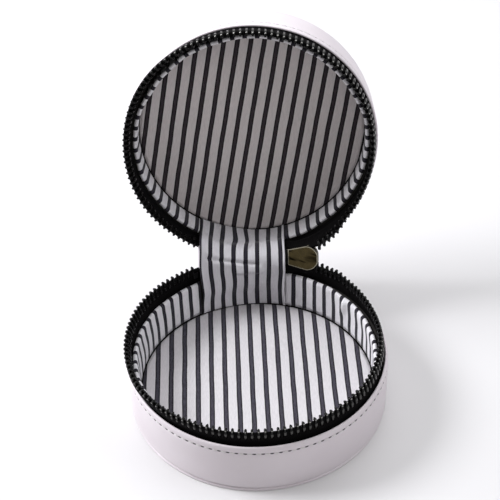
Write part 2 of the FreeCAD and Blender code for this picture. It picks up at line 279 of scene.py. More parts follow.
# Striped cotton ticking, woven: dark warp bands with denser edges and a heathered middle on a
# pale ground, matt, with a thread relief. The weave is drawn at 0.8 mm, twice its real spacing,
# so that it shows at all. Its map runs in stripes across and in millimetres along.
def striped_ticking(name, pitch, ground, selvage, edge, middle):
    material, tree = blank_material(name)
    thread = 0.8
    drift_size = (0.5, 0.07, 1.0)
    yarn_size = (2.4, 0.35, 1.0)
    map_at = add(tree, "ShaderNodeUVMap", uv_map="cloth").outputs["UV"]
    slow = add(tree, "ShaderNodeMapping", {"Vector": map_at, "Scale": drift_size})
    drift = add(tree, "ShaderNodeTexNoise", {"Vector": slow.outputs[0], "Scale": 1.0, "Detail": 2.0})
    split = add(tree, "ShaderNodeSeparateXYZ", {0: map_at})
    sway = add(tree, "ShaderNodeMath", {0: drift.outputs["Fac"], 1: 0.10, 2: -0.05},
               operation="MULTIPLY_ADD")
    lane = add(tree, "ShaderNodeMath", {0: split.outputs["X"], 1: sway.outputs[0]}, operation="ADD")
    band = add(tree, "ShaderNodeMath", {0: lane.outputs[0]}, operation="FRACT")
    ramp = add(tree, "ShaderNodeValToRGB", {"Fac": band.outputs[0]})
    stops = ((0.0, ground), (0.26, ground), (0.295, selvage), (0.325, edge), (0.385, edge), (0.42, middle),
             (0.58, middle), (0.615, edge), (0.675, edge), (0.705, selvage), (0.74, ground), (1.0, ground))
    marks = ramp.color_ramp.elements
    while len(marks) < len(stops):
        marks.new(0.5)
    for mark, (at, code) in zip(marks, stops):
        mark.position = at
        mark.color = tint(code)
    across = add(tree, "ShaderNodeMath", {0: split.outputs["X"], 1: pitch / thread}, operation="MULTIPLY")
    along = add(tree, "ShaderNodeMath", {0: split.outputs["Y"], 1: 1 / thread}, operation="MULTIPLY")
    yarn_at = add(tree, "ShaderNodeCombineXYZ", {"X": across.outputs[0], "Y": along.outputs[0]})
    stretch = add(tree, "ShaderNodeMapping", {"Vector": yarn_at.outputs[0], "Scale": yarn_size})
    heather = add(tree, "ShaderNodeTexNoise", {"Vector": stretch.outputs[0], "Scale": 1.0, "Detail": 3.0})
    off_middle = add(tree, "ShaderNodeMath", {0: band.outputs[0], 1: 0.5}, operation="SUBTRACT")
    off_middle = add(tree, "ShaderNodeMath", {0: off_middle.outputs[0]}, operation="ABSOLUTE")
    depth = add(tree, "ShaderNodeMapRange",
                {"Value": off_middle.outputs[0], "From Min": 0.12, "From Max": 0.19,
                 "To Min": 0.42, "To Max": 0.07})
    mottle = add(tree, "ShaderNodeMapRange",
                 {"Value": heather.outputs["Fac"], "From Min": 0.3, "From Max": 0.7,
                  "To Min": -1.0, "To Max": 1.0})
    fleck = add(tree, "ShaderNodeMath", {0: mottle.outputs[0], 1: depth.outputs[0], 2: 0.98},
                operation="MULTIPLY_ADD")
    yarn_x = add(tree, "ShaderNodeMath", {0: across.outputs[0], 1: 2 * math.pi}, operation="MULTIPLY")
    yarn_y = add(tree, "ShaderNodeMath", {0: along.outputs[0], 1: 2 * math.pi}, operation="MULTIPLY")
    warp = add(tree, "ShaderNodeMath", {0: yarn_x.outputs[0]}, operation="SINE")
    weft = add(tree, "ShaderNodeMath", {0: yarn_y.outputs[0]}, operation="SINE")
    weave = add(tree, "ShaderNodeMath", {0: warp.outputs[0], 1: weft.outputs[0]}, operation="MULTIPLY")
    colour = add(tree, "ShaderNodeVectorMath", {0: ramp.outputs["Color"], "Scale": fleck.outputs[0]},
                 operation="SCALE")
    relief = add(tree, "ShaderNodeMath", {0: weave.outputs[0], 1: heather.outputs["Fac"]}, operation="ADD")
    bump = add(tree, "ShaderNodeBump", {"Height": relief.outputs[0], "Strength": 0.35, "Distance": 0.1 * MM})
    shader = add(tree, "ShaderNodeBsdfPrincipled",
                 {"Base Color": colour.outputs[0], "Roughness": 0.85, "Normal": bump.outputs[0],
                  "Specular IOR Level": 0.2, "Sheen Weight": 0.12, "Sheen Roughness": 0.5})
    add(tree, "ShaderNodeOutputMaterial", {"Surface": shader.outputs[0]})
    return material


# Polyester zip tape, black twill: matt, nearly flat black with a diagonal rib. Its map is in
# millimetres, and the wave node draws about 3.2 bands in each unit.
def zip_twill():
    material, tree = blank_material("zip_tape_twill")
    rib = 0.7
    bands_per_unit = 3.2
    tufts_per_mm = 3.0
    map_at = add(tree, "ShaderNodeUVMap", uv_map="cloth").outputs["UV"]
    slant = add(tree, "ShaderNodeMapping", {"Vector": map_at, "Rotation": (0, 0, math.radians(35))})
    ribs = add(tree, "ShaderNodeTexWave",
               {"Vector": slant.outputs[0], "Scale": 1 / rib / bands_per_unit, "Distortion": 0.4})
    fluff = add(tree, "ShaderNodeTexNoise", {"Vector": map_at, "Scale": tufts_per_mm, "Detail": 4.0})
    colour = add(tree, "ShaderNodeMix",
                 {"Factor": ribs.outputs["Fac"], 6: tint("#040304"), 7: tint("#0B0A0B")}, data_type="RGBA")
    relief = add(tree, "ShaderNodeMath", {0: ribs.outputs["Fac"], 1: fluff.outputs["Fac"]}, operation="ADD")
    bump = add(tree, "ShaderNodeBump", {"Height": relief.outputs[0], "Strength": 0.5, "Distance": 0.08 * MM})
    shader = add(tree, "ShaderNodeBsdfPrincipled",
                 {"Base Color": colour.outputs[2], "Roughness": 0.8, "Normal": bump.outputs[0],
                  "Specular IOR Level": 0.06})
    add(tree, "ShaderNodeOutputMaterial", {"Surface": shader.outputs[0]})
    return material


# Die-cast metal, plated or enamelled: smooth, with a roughness that drifts with the polish. A streak
# of painted dark reflection darkens part of the polished slider. A point attribute paints highlights on
# a tooth's outer corners as grey metal, dull at 1 and bright at 2.
def plated_metal(name, dark, light, metallic, roughness, gloss, painted_glint=None, painted_reflection=None):
    material, tree = blank_material(name)
    patina_size = 2.2 * MM
    streak_long = 16 * MM
    streak_wide = 2.6 * MM
    streak_shift = 2.55
    place_at = add(tree, "ShaderNodeTexCoord").outputs["Object"]
    patina = add(tree, "ShaderNodeTexNoise", {"Vector": place_at, "Scale": 1 / patina_size, "Detail": 4.0})
    colour = add(tree, "ShaderNodeMix",
                 {"Factor": patina.outputs["Fac"], 6: tint(dark), 7: tint(light)}, data_type="RGBA")
    # Painted reflection: a dark streak over part of the slider.
    if painted_reflection:
        drawn = add(tree, "ShaderNodeMapping",
                    {"Vector": place_at, "Location": (0.0, 0.0, streak_shift),
                     "Scale": (1 / streak_long, 1 / streak_long, 1 / streak_wide)})
        sheen = add(tree, "ShaderNodeTexNoise", {"Vector": drawn.outputs[0], "Scale": 1.0, "Detail": 2.0})
        shade = add(tree, "ShaderNodeMapRange",
                    {"Value": sheen.outputs["Fac"], "From Min": 0.44, "From Max": 0.56},
                    interpolation_type="SMOOTHSTEP")
        colour = add(tree, "ShaderNodeMix",
                     {"Factor": shade.outputs[0], 6: colour.outputs[2], 7: tint(painted_reflection)}, data_type="RGBA")
    rough = add(tree, "ShaderNodeMapRange",
                {"Value": patina.outputs["Fac"], "To Min": roughness * 0.7, "To Max": roughness * 1.3})
    bump = add(tree, "ShaderNodeBump",
               {"Height": patina.outputs["Fac"], "Strength": 0.1, "Distance": 0.05 * MM})
    shader = add(tree, "ShaderNodeBsdfPrincipled",
                 {"Base Color": colour.outputs[2], "Metallic": metallic, "Roughness": rough.outputs[0],
                  "Normal": bump.outputs[0], "Specular IOR Level": gloss})
    # Painted highlight: the marked corners of a tooth turn to grey metal.
    if painted_glint:
        dim_glint, strong_glint = painted_glint
        glint_paint = add(tree, "ShaderNodeAttribute", attribute_name="glint_paint")
        glint_mask = add(tree, "ShaderNodeMapRange",
                    {"Value": glint_paint.outputs["Fac"], "From Min": 0.45, "From Max": 1.0},
                    interpolation_type="SMOOTHSTEP")
        glint_strength = add(tree, "ShaderNodeMapRange",
                       {"Value": glint_paint.outputs["Fac"], "From Min": 1.0, "From Max": 2.0})
        glint_colour = add(tree, "ShaderNodeMix",
                    {"Factor": glint_strength.outputs[0], 6: tint(dim_glint), 7: tint(strong_glint)}, data_type="RGBA")
        glinted = add(tree, "ShaderNodeMix",
                   {"Factor": glint_mask.outputs[0], 6: colour.outputs[2], 7: glint_colour.outputs[2]},
                   data_type="RGBA")
        tree.links.new(glinted.outputs[2], shader.inputs["Base Color"])
        tree.links.new(glint_mask.outputs[0], shader.inputs["Metallic"])
    add(tree, "ShaderNodeOutputMaterial", {"Surface": shader.outputs[0]})
    return material


# Spun polyester thread, grey board and foam: matt, each with a fibre, pulp or cell grain in
# millimetres. Board and foam sit behind the linings, coloured near black as painted shade.
def matt_fibre(name, dark, light, grain):
    material, tree = blank_material(name)
    place_at = add(tree, "ShaderNodeTexCoord").outputs["Object"]
    fibre = add(tree, "ShaderNodeTexNoise", {"Vector": place_at, "Scale": 1 / (grain * MM), "Detail": 5.0})
    colour = add(tree, "ShaderNodeMix",
                 {"Factor": fibre.outputs["Fac"], 6: tint(dark), 7: tint(light)}, data_type="RGBA")
    bump = add(tree, "ShaderNodeBump",
               {"Height": fibre.outputs["Fac"], "Strength": 0.4, "Distance": 0.1 * MM})
    shader = add(tree, "ShaderNodeBsdfPrincipled",
                 {"Base Color": colour.outputs[2], "Roughness": 0.8, "Normal": bump.outputs[0],
                  "Specular IOR Level": 0.3})
    add(tree, "ShaderNodeOutputMaterial", {"Surface": shader.outputs[0]})
    return material


leather_plain = coated_leather("coated_leather_white")
# Stitch holes painted with shade: dark on the base's band, lighter on the lid's.
leather_shaded_holes = {"base": coated_leather("coated_leather_shaded_holes", "#221D22"),
                   "lid": coated_leather("coated_leather_lightly_shaded_holes", "#8A8489")}
ticking_disc = striped_ticking("cotton_ticking_discs", FLOOR_STRIPE,
                               "#E0DDE0", "#EBE9EB", "#221E27", "#423F49")
# Ceiling copy of the ticking: ground painted warmer as bounced light, stripes painted darker as shade.
ceiling_ticking_painted_shade = striped_ticking("cotton_ticking_ceiling_painted_warm_light_and_shade", CEILING_STRIPE,
                                  "#E6DFDE", "#EFEAEA", "#191316", "#383136")
# Wall copy of the ticking: ground painted lighter than the floor's, as light on the walls.
wall_ticking_painted_light = striped_ticking("cotton_ticking_walls_painted_lighter", STRIP_STRIPE,
                               "#F3F1F5", "#FAF9FC", "#17141B", "#2B2832")
# Hinge copy of the ticking: ground painted darker than the walls', as shade on the strip.
hinge_ticking_painted_shade = striped_ticking("cotton_ticking_hinge_painted_darker", STRIP_STRIPE,
                                "#E6E4E9", "#EFEEF2", "#17141B", "#2B2832")
twill_black = zip_twill()
teeth_black = plated_metal("zip_teeth_black_enamel", "#010101", "#040404",
                           metallic=0.0, roughness=0.13, gloss=0.15, painted_glint=("#454543", "#C9C7C3"))
bronze = plated_metal("slider_antique_bronze", "#2A2418", "#4C432D",
                      metallic=1.0, roughness=0.26, gloss=0.5, painted_reflection="#0C0905")
# Lighter metal for the slider's rounded edges and plate rim: a painted highlight.
bronze_edge_highlight = plated_metal("slider_edge_painted_highlight", "#7A7568", "#9A9587",
                           metallic=1.0, roughness=0.3, gloss=0.5)
stop_black = plated_metal("zip_stop_black_enamel", "#030303", "#080708",
                          metallic=0.0, roughness=0.3, gloss=0.25)
thread_white = matt_fibre("polyester_thread_white", "#DEDADB", "#F4F2F2", grain=0.35)
# Painted shade: board and foam near black, so the seams between the linings show as dark lines.
board_painted_seam_shade = matt_fibre("board_painted_seam_shade", "#1A1817", "#262422", grain=1.2)
foam_painted_seam_shade = matt_fibre("foam_dark_for_seam_shade", "#1A191B", "#252326", grain=0.8)


def slump(part, psi, drop):
    """How far a leaf's soft wall stands off its circle, at the front and, most low down, at the right."""
    front = np.clip(np.cos(np.radians(psi - FRONT_AT)), 0, 1) ** 2
    right = np.clip(np.cos(np.radians(psi - RIGHT_AT)), 0, 1) ** 2
    return FRONT_SWELL[part] * front + RIGHT_SWELL[part] * right * (0.5 + 0.5 * ease(drop / 6))


def outer_band(part):
    """Leather round the wall: turned rim, stitched seam in a shallow trough, tucked foot."""
    side = SIDE[part]
    tall = DEPTH[part] - RIM - PANEL
    half = (CASE_R - BAND_IN) / 2
    steps = np.concatenate([[0.75, 1.2, 1.8, 2.4, 2.75, 3.0, STITCH_DROP, 3.5, 3.8, 4.3, 5.2],
                            np.linspace(6.5, tall - 1.2, 9), [tall - 0.6, tall - 0.25]])
    trough = 0.24 * mound(steps - STITCH_DROP, 0.42)
    swell = 0.16 * mound(steps - 1.8, 1.0) - trough + 0.14 * mound(steps - 5.0, 1.2)
    swell[-2:] -= (0.08, 0.30)
    roll = [(CASE_R - half + half * math.cos(a), half - half * math.sin(a) * 1.05)
            for a in np.radians(np.linspace(180, 15, 8))]
    inner = [(BAND_IN, tall), (BAND_IN, tall * 0.6), (BAND_IN, 5.0), (BAND_IN, 1.2)]
    outside = list(zip(CASE_R + swell, steps))
    foot = [(CASE_R - 0.6, tall)]
    line = np.array(inner + roll + outside + foot)
    count = 276
    psi = np.arange(count) * 360 / count
    turn = np.radians(psi)[:, None]
    drop = line[None, :, 1]
    outer = np.clip((line[None, :, 0] - BAND_IN) / (CASE_R - BAND_IN), 0, 1)
    slack = waves(11 + SEED[part], 7, (turn, 1.6, 7.4), (drop, 0.05, 0.25))
    whole = waves(13 + SEED[part], 5, (turn, 1.0, 1.0))
    radius = line[None, :, 0] + outer * (0.07 * slack * ease((360 - psi[:, None]) / 20) + 0.05 * whole)
    radius = radius + slump(part, psi[:, None], drop)
    rim_dip = 0.12 * np.sin(3 * turn + side) + 0.07 * np.sin(7 * turn)
    height = side * (RIM + drop - rim_dip * np.exp(-drop / 3))
    points = place(psi[:, None], radius, height, FOLD[part])
    marks = np.concatenate([line[:, 1], [line[0, 1]]])
    uv = grid_uv(np.append(psi, 360) / 360 * STITCH_COUNT, marks)
    band = skin(part + "_leather_band", points, uv, leather_shaded_holes[part], around=True, across=True)
    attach(band, part)
    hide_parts(part + "_outer_band")


def end_panel(part):
    """Leather disc under the base or over the lid, with a rolled edge and a seam groove above it."""
    line = np.array([(0.0, 0.0), (30.0, 0.0), (48.6, 0.0), (49.3, 0.1), (49.72, 0.4), (49.8, 0.8),
                     (49.7, 1.2), (49.3, 1.5), (48.6, PANEL_THICK), (30.0, PANEL_THICK), (0.0, PANEL_THICK)])
    depth = DEPTH[part]
    count = 180
    psi = np.arange(count) * 360 / count
    spread = line[None, :, 0] + slump(part, psi[:, None], depth - RIM) * line[None, :, 0] / CASE_R
    points = place(psi[:, None], spread, SIDE[part] * (depth - line[None, :, 1]), FOLD[part])
    uv = grid_uv(np.append(psi, 360) / 360 * STITCH_COUNT, run_length(line))
    panel = skin(part + "_leather_panel", points, uv, leather_plain, around=True)
    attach(panel, part)
    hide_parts(part + ("_bottom_panel" if part == "base" else "_top_panel"))


def repeat_tree(name):
    """One piece set on every point, turned by the point's own turn, as plain mesh."""
    tree = bpy.data.node_groups.new(name, "GeometryNodeTree")
    face = tree.interface
    face.new_socket("Places", in_out="INPUT", socket_type="NodeSocketGeometry")
    face.new_socket("Piece", in_out="INPUT", socket_type="NodeSocketObject")
    face.new_socket("Size", in_out="INPUT", socket_type="NodeSocketFloat").default_value = 1.0
    face.new_socket("Finish", in_out="INPUT", socket_type="NodeSocketMaterial")
    face.new_socket("Row", in_out="OUTPUT", socket_type="NodeSocketGeometry")
    given = add(tree, "NodeGroupInput")
    piece = add(tree, "GeometryNodeObjectInfo", {"Object": given.outputs["Piece"]})
    turn = add(tree, "GeometryNodeInputNamedAttribute", {"Name": "turn"}, data_type="FLOAT_VECTOR")
    turned = add(tree, "FunctionNodeEulerToRotation", {"Euler": turn.outputs["Attribute"]})
    dots = add(tree, "GeometryNodeMeshToPoints", {"Mesh": given.outputs["Places"]})
    set_on = add(tree, "GeometryNodeInstanceOnPoints",
                 {"Points": dots.outputs[0], "Instance": piece.outputs["Geometry"],
                  "Rotation": turned.outputs[0], "Scale": given.outputs["Size"]})
    real = add(tree, "GeometryNodeRealizeInstances", {0: set_on.outputs[0]})
    dressed = add(tree, "GeometryNodeSetMaterial",
                  {"Geometry": real.outputs[0], "Material": given.outputs["Finish"]})
    add(tree, "NodeGroupOutput", {0: dressed.outputs[0]})
    return tree


row_tree = repeat_tree("row_of_pieces")


def repeat(name, piece, centres, turns, material):
    """Sets a copy of piece at each centre and returns the row as one plain mesh object."""
    mesh = bpy.data.meshes.new(name + "_places")
    mesh.from_pydata([tuple(c) for c in centres], [], [])
    layer = mesh.attributes.new("turn", "FLOAT_VECTOR", "POINT")
    layer.data.foreach_set("vector", np.array(turns, dtype=np.float32).ravel())
    holder = new_object(name + "_places", mesh)
    modifier = holder.modifiers.new("row", "NODES")
    modifier.node_group = row_tree
    values = {"Piece": piece, "Size": 1.0, "Finish": material}
    for item in row_tree.interface.items_tree:
        if item.in_out == "INPUT" and item.name in values:
            modifier[item.identifier] = values[item.name]
    bpy.context.view_layer.update()
    result = bpy.data.meshes.new_from_object(holder.evaluated_get(bpy.context.evaluated_depsgraph_get()))
    result.name = name
    holder.modifiers.clear()
    bpy.data.objects.remove(holder)
    result.shade_smooth()
    row = new_object(name, result)
    if not result.materials:
        result.materials.append(material)
    return row


def ring_solid(name, rings, glint_paint=None):
    """A closed solid from (height, half width, half depth, squareness) rings, with its spots of painted
    highlight.
    """
    count = 8
    shell = bmesh.new()
    loops = []
    for height, wide, deep, square in rings:
        loop = []
        for k in range(count):
            a = 2 * math.pi * (k + 0.5) / count
            c = math.cos(a)
            s = math.sin(a)
            x = math.copysign(abs(c) ** square, c) * wide
            y = math.copysign(abs(s) ** square, s) * deep
            loop.append(shell.verts.new((x * MM, y * MM, height * MM)))
        loops.append(loop)
    for low, high in zip(loops, loops[1:]):
        for k in range(count):
            shell.faces.new((low[k], low[(k + 1) % count], high[(k + 1) % count], high[k]))
    shell.faces.new(loops[0][::-1])
    shell.faces.new(loops[-1])
    bmesh.ops.recalc_face_normals(shell, faces=shell.faces)
    mesh = bpy.data.meshes.new(name)
    shell.to_mesh(mesh)
    shell.free()
    glint_spots = glint_paint or {}
    painted_glint = [glint_spots.get((i, k), 0.0) for i in range(len(rings)) for k in range(count)]
    mesh.attributes.new("glint_paint", "FLOAT", "POINT").data.foreach_set("value", painted_glint)
    return bpy.data.objects.new(name, mesh)


TOOTH_RINGS = (
    (-3.30, 0.42, 0.95, 0.8), (-3.15, 0.68, 1.12, 0.7), (-1.20, 0.72, 1.15, 0.7), (-0.72, 0.56, 0.92, 0.9),
    (-0.40, 0.55, 0.90, 0.9), (0.10, 0.58, 1.06, 1.0), (0.58, 0.54, 0.98, 1.0), (0.84, 0.28, 0.64, 1.0))
STITCH_RINGS = ((-0.90, 0.10, 0.08, 1.0), (-0.72, 0.23, 0.18, 1.0), (-0.25, 0.30, 0.28, 1.0),
                (0.25, 0.30, 0.28, 1.0), (0.72, 0.23, 0.18, 1.0), (0.90, 0.10, 0.08, 1.0))
# Painted highlights on the outer corners of a tooth, by ring and corner: dull grey on its legs, bright on
# its head.
LEG_GLINT = 1.0
HEAD_GLINT = 1.7
TOOTH_GLINTS = {(ring, corner): wear for ring, wear in ((1, LEG_GLINT), (2, LEG_GLINT), (6, HEAD_GLINT))
                for corner in (1, 2)}
tooth_shape = ring_solid("tooth_shape", TOOTH_RINGS, TOOTH_GLINTS)
stitch_shape = ring_solid("stitch_shape", STITCH_RINGS)


def swung(fold, psi, *local):
    """The turn of a small piece that faces outwards at psi on a leaf swung by fold."""
    turn = Matrix.Rotation(math.radians(-fold), 3, "X") @ Matrix.Rotation(math.radians(-psi), 3, "Z")
    for angle, axis in local:
        turn = turn @ Matrix.Rotation(math.radians(angle), 3, axis)
    return tuple(turn.to_euler("XYZ"))


def band_stitches(part):
    """The row of thread stitches below the rim, each sunk a little into the leather."""
    side = SIDE[part]
    psi = (np.arange(STITCH_COUNT) + 0.5) * 360 / STITCH_COUNT
    radius = CASE_R - 0.10 + slump(part, psi, STITCH_DROP)
    centres = place(psi, radius, np.full(STITCH_COUNT, side * (RIM + STITCH_DROP)), FOLD[part])
    turns = [swung(FOLD[part], p, (90, "Y"), (4 * side, "Y")) for p in psi]
    row = repeat(part + "_seam_stitches", stitch_shape, centres, turns, thread_white)
    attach(row, part)
    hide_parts(part + "_band_stitches")


def wall_lining(part):
    """Ticking glued to the wall board, turned over its edge in a soft hem."""
    hem = HEM[part]
    foot = INSIDE[part] - 0.1
    wall = [(LINING_IN, q) for q in np.linspace(foot, hem + 1.6, 9)]
    roll = [(LINING_IN + 0.05, hem + 0.95), (LINING_IN + 0.22, hem + 0.45), (LINING_IN + 0.55, hem + 0.12),
            (LINING_IN + 0.9, hem), (LINING_IN + 1.2, hem + 0.05), (LINING_IN + 1.5, hem + 0.25),
            (LINING_IN + 1.7, hem + 0.55), (LINING_IN + 1.75, hem + 0.85)]
    back = [(LINING_OUT, hem + 0.88), (LINING_OUT, hem + 3.0), (LINING_OUT, foot)]
    line = np.array(wall + roll + back)
    fronts = len(wall) + len(roll)
    on_front = (np.arange(len(line)) < fronts)[None, :]
    along = np.linspace(STRIP_TO + 0.35, 360 + STRIP_FROM - 0.35, 300)
    psi = along[:, None]
    arc = np.radians(psi) * LINING_IN
    drop = line[None, :, 1]
    seen = on_front * ease((foot - drop) / 4)
    gather = waves(21 + SEED[part], 9, (arc, 0.12, 0.55), (drop, 0.02, 0.2))
    away = ease((hem + 9.0 - drop) / 8.0)
    crest = ease((0.1 - np.cos(np.radians(psi))) / 0.9)
    pucker = mound(psi - PUCKER_AT + 0.35 * (drop - hem), 1.7)
    pucker = pucker * ease((drop - hem) / 2) * ease((20 - drop) / 8)
    radius = line[None, :, 0] - seen * (0.16 + 0.16 * gather) - HEM_LEAN[part] * crest * away
    radius = radius - PUCKER_DEPTH[part] * seen * pucker
    tuck = on_front * mound(drop - hem, 1.2)
    lift = waves(23 + SEED[part], 8, (arc, 0.2, 0.9))
    height = SIDE[part] * (drop - tuck * (0.12 * lift + 0.1) - HEM_SAG[part] * crest * away)
    points = place(psi, radius, height, FOLD[part])
    clear = ease((psi - 25) / 40) * ease((331 - psi) / 40)
    points[..., 0] += HEM_SHIFT[part] * MM * away * clear
    lanes = np.radians(along) * LINING_IN / WALL_STRIPE[part] + WALL_SHIFT[part]
    uv = grid_uv(lanes, np.append(run_length(line), 0.0))
    cloth = skin(part + "_wall_ticking", points, uv, wall_ticking_painted_light, across=True, caps=True)
    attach(cloth, part)
    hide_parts(part + "_wall_lining")


def disc_lining(part, face, material, pitch, lean, phase):
    """Ticking over a thin pad on the floor or ceiling board, crowned and tucked in at its edge."""
    level = INSIDE[part]
    rings = np.concatenate([np.linspace(0, 42, 22), [43.2, 44.0, 44.6, 45.0, 45.35, 45.6]])
    count = 160
    psi = np.arange(count) * 360 / count
    turn = np.radians(psi)[:, None]
    x = rings[None, :] * np.sin(turn)
    y = rings[None, :] * np.cos(turn)
    edge = FLOOR_R - rings[None, :]
    crown = 0.30 * ease(edge / 9) - 0.55 * (1 - ease(edge / 1.3))
    soft = 0.09 * waves(31 + SEED[part], 8, (x, 0.04, 0.16), (y, 0.04, 0.16)) * ease(edge / 6)
    top = level - crown - soft - 0.1
    back = np.array([FLOOR_R - 0.1, 30.0, 0.0])
    radius = np.concatenate([np.broadcast_to(rings, top.shape), np.broadcast_to(back, (count, 3))], 1)
    height = np.concatenate([top, np.full((count, 3), level + 0.75)], 1) * SIDE[part]
    points = place(psi[:, None], radius, height, FOLD[part])
    wrap = np.append(np.arange(count), 0)
    flat_x = (radius * np.sin(turn))[wrap]
    flat_y = (radius * np.cos(turn))[wrap]
    angle = math.radians(lean)
    lanes = (flat_x * math.cos(angle) + flat_y * math.sin(angle)) / pitch + phase
    run = flat_y * math.cos(angle) - flat_x * math.sin(angle)
    cloth = skin(part + face + "_ticking", points, np.stack([lanes, run], -1), material, around=True)
    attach(cloth, part)
    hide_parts(part + face + "_lining")


def twist(psi):
    """How far a tape end is drawn towards the slider, from 0 to 1."""
    return ease((TWIST_FROM - psi) / (TWIST_FROM - TWIST_TO))


def leaf_fold(part, pulled):
    """The fold of a tape point that is pulled from its own leaf towards the slider's plane."""
    return OPEN * ZIP_SHARE * pulled if part == "base" else OPEN * (1 - (1 - ZIP_SHARE) * pulled)


def drawn_in(piece):
    """Bakes a piece's transform into its mesh; its pull towards the slider is already in its points."""
    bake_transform(piece)


def end_dip(psi):
    """How far the row of teeth dips beside the hinge strip, in millimetres."""
    right = ease(0.5 + (RIGHT_DIP_AT - psi) / DIP_RAMP)
    left = ease(0.5 + (psi - LEFT_DIP_AT) / DIP_RAMP)
    return np.maximum(RIGHT_DIP * right, LEFT_DIP * left)


def chain_lean(psi, height):
    """Lean of the soft tape edge along x and y in metres: none at the rim and beside the hinge strip."""
    along = ease((psi - 34) / 40) * ease((332 - psi) / 40) * ease((7.0 - height) / 5.0)
    flare = CHAIN_FLARE * mound(psi - FLARE_AT, FLARE_SPREAD)
    turn = np.radians(psi)
    return (CHAIN_LEAN + flare * np.sin(turn)) * MM * along, flare * np.cos(turn) * MM * along


def leaned(points, psi, height, fold):
    """Moves points of the chain by its lean; the lean along y swings with the leaf."""
    lean_x, lean_y = chain_lean(psi, height)
    swing = np.radians(fold)
    points[..., 0] += lean_x
    points[..., 1] += lean_y * np.cos(swing)
    points[..., 2] -= lean_y * np.sin(swing)
    return points


def tape_skin(name, part, psi, heights, pulled, tuck):
    """A strip of tape with a corded edge; heights, pull and tuck are given for each point of its face."""
    half_weave = 0.255
    half_cord = 0.68
    half = np.full(heights.shape[1], half_weave)
    half[-2:] = half_cord
    fold = leaf_fold(part, pulled)
    outer = place(psi[:, None], CHAIN_R - tuck + half[None, :], SIDE[part] * heights, fold)
    inner = place(psi[:, None], CHAIN_R - tuck - half[None, :], SIDE[part] * heights, fold)
    for face in (outer, inner):
        leaned(face, psi[:, None], heights, fold)
    points = np.concatenate([outer, inner[:, ::-1]], 1)
    run = np.concatenate([heights, heights[:, ::-1], heights[:, :1]], 1)
    lanes = np.broadcast_to((np.radians(psi) * CHAIN_R)[:, None], run.shape)
    tape = skin(name, points, np.stack([lanes, run], -1), twill_black, across=True, caps=True)
    return tape, points


def tape_heights(top, count):
    """Heights of a tape's points, from its sewn foot to its edge, for each place along it."""
    return TAPE_FOOT + (top[:, None] - TAPE_FOOT) * np.linspace(0, 1, count)[None, :]


def zip_tapes(part):
    """The tape round the leaf, and the end that is drawn towards the slider."""
    psi = np.linspace(TWIST_FROM, TAPE_TO, 300)
    heights = tape_heights(TAPE_EDGE + end_dip(psi), 7)
    flat = np.zeros_like(heights)
    tape, _ = tape_skin(part + "_zip_tape_run", part, psi, heights, flat, flat)
    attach(tape, part)
    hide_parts(part + "_zip_tape")
    psi = np.linspace(TAPE_FROM, TWIST_FROM, 44)
    sunk = 1.3 * ease((34 - psi) / 6)
    raised = 2.9 * ease((19 - psi) / 2)
    heights = tape_heights(TAPE_EDGE + end_dip(psi) * ease((psi - 24) / 10) + sunk - raised, 15)
    pulled = twist(psi)[:, None] * ease((7.2 - heights) / 4.0)
    tuck = 1.6 * ease((22 - psi[:, None]) / 6) * ease((heights - 4.0) / 3)
    end, points = tape_skin(part + "_zip_tape_end", part, psi, heights, pulled, tuck)
    drawn_in(end)


def zip_teeth(part):
    """One row of teeth; those nearest the slider lean in with the tape end."""
    psi = FIRST_TOOTH[part] + TOOTH_STEP * np.arange(TOOTH_COUNT)
    near = psi < TWIST_FROM
    upturn = 0 if part == "base" else 180
    for name, chosen in (("_zip_teeth_run", ~near), ("_zip_teeth_end", near)):
        at = psi[chosen]
        dip = end_dip(at)
        pulled = twist(at)
        fold = leaf_fold(part, pulled)
        centres = place(at, np.full(at.shape, CHAIN_R), SIDE[part] * dip, fold)
        leaned(centres, at, dip, fold)
        lean_x, lean_y = chain_lean(at, dip)
        outward = lean_x * np.sin(np.radians(at)) + lean_y * np.cos(np.radians(at))
        tilts = SIDE[part] * np.degrees(np.arctan2(outward, TAPE_REACH * MM))
        turns = [swung(f, p, (t, "X"), (upturn, "Y")) for f, p, t in zip(fold, at, tilts)]
        row = repeat(part + name, tooth_shape, centres, turns, teeth_black)
        if name == "_zip_teeth_run":
            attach(row, part)
            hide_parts(part + "_zip_teeth")
        else:
            drawn_in(row)


def strip_fold(height):
    """The fold of the hinge strips at a height above the closing plane."""
    return OPEN * ease((height + STRIP_BEND) / (2 * STRIP_BEND))


def strip_blend(piece, radius):
    """Bakes a hinge strip's transform into its mesh; its bend between the two leaves is already in its
    points.
    """
    low = place(np.array(STRIP_MIDDLE), np.array(radius), np.array(-STRIP_BEND), FOLD["base"])
    high = place(np.array(STRIP_MIDDLE), np.array(radius), np.array(STRIP_BEND), FOLD["lid"])
    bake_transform(piece)


